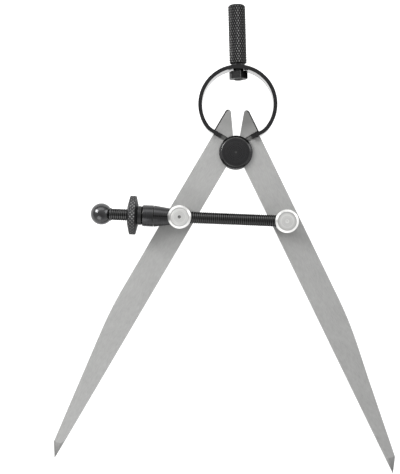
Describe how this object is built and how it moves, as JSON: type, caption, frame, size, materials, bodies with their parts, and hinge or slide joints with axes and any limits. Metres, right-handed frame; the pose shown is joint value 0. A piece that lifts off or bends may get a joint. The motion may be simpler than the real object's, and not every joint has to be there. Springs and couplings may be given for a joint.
{
  "type": "spring divider",
  "caption": "Flat-legged spring divider with hardened points, a bow spring, a knurled handle and a fine screw with a quick-release thumb nut, for stepping off and scribing distances.",
  "frame": {"origin": "on the fulcrum axis, in the outer face of the rear fulcrum flange", "axes": "+X to the right seen from the front, +Y towards the handle, +Z out of the front faces, with the tool lying on its back"},
  "size_m": [0.1432, 0.1944, 0.0201],
  "materials": {
    "ground_steel": "surface ground, satin",
    "turned_steel": "fine turned, bright",
    "black_steel": "black oxide over turned steel",
    "black_spring_steel": "oil-blackened spring strip",
    "spring_wire": "drawn"
  },
  "bodies": {
    "bow": {"fulcrum_stud": "black_steel", "fulcrum_rear_flange": "black_steel", "bow_spring": "black_spring_steel", "handle": "black_steel", "handle_nut": "black_steel"},
    "left_leg": {"left_leg": "ground_steel"},
    "right_leg": {"right_leg": "ground_steel"},
    "left_post": {"left_post": "turned_steel", "left_post_washer": "turned_steel"},
    "right_post": {"right_post": "turned_steel", "right_post_washer": "turned_steel", "adjusting_screw": "black_steel", "ball_end": "black_steel"},
    "nut_sleeve": {"jaw_sleeve": "black_steel"},
    "thumb_nut": {"thumb_nut": "black_steel", "jaw_ring": "spring_wire"},
    "upper_jaw": {"upper_jaw": "black_steel"},
    "lower_jaw": {"lower_jaw": "black_steel"}
  },
  "joints": [
    {"name": "left_leg_open", "type": "hinge", "parent": "bow", "child": "left_leg", "pos_m": [0, 0, 0.0046], "axis": [0, 0, -1], "range_deg": [-28, 3], "deforming": ["bow_spring"]},
    {"name": "right_leg_open", "type": "hinge", "parent": "bow", "child": "right_leg", "pos_m": [0, 0, 0.0046], "axis": [0, 0, 1], "range_deg": [-28, 3]},
    {"name": "left_post_swivel", "type": "hinge", "parent": "left_leg", "child": "left_post", "pos_m": [-0.02212, -0.02802, 0.01195], "axis": [0, 0, 1], "range_deg": [-28, 3]},
    {"name": "right_post_swivel", "type": "hinge", "parent": "right_leg", "child": "right_post", "pos_m": [0.02212, -0.02802, 0.01195], "axis": [0, 0, -1], "range_deg": [-28, 3]},
    {"name": "nut_slide", "type": "slide", "parent": "left_post", "child": "nut_sleeve", "axis": [-1, 0, 0], "range_m": [0, 0.003]},
    {"name": "nut_spin", "type": "hinge", "parent": "nut_sleeve", "child": "thumb_nut", "pos_m": [-0.0406, -0.02802, 0.01195], "axis": [-1, 0, 0], "continuous": true},
    {"name": "upper_jaw_open", "type": "slide", "parent": "thumb_nut", "child": "upper_jaw", "axis": [0, 1, 0], "range_m": [0, 0.0004]},
    {"name": "lower_jaw_open", "type": "slide", "parent": "thumb_nut", "child": "lower_jaw", "axis": [0, -1, 0], "range_m": [0, 0.0004]}
  ],
  "couplings": [
    {"joint": "right_leg_open", "follows": "left_leg_open", "ratio": 1},
    {"joint": "left_post_swivel", "follows": "left_leg_open", "ratio": 1},
    {"joint": "right_post_swivel", "follows": "left_leg_open", "ratio": 1},
    {"joint": "upper_jaw_open", "follows": "nut_slide", "ratio": 0.13},
    {"joint": "lower_jaw_open", "follows": "nut_slide", "ratio": 0.13}
  ]
}
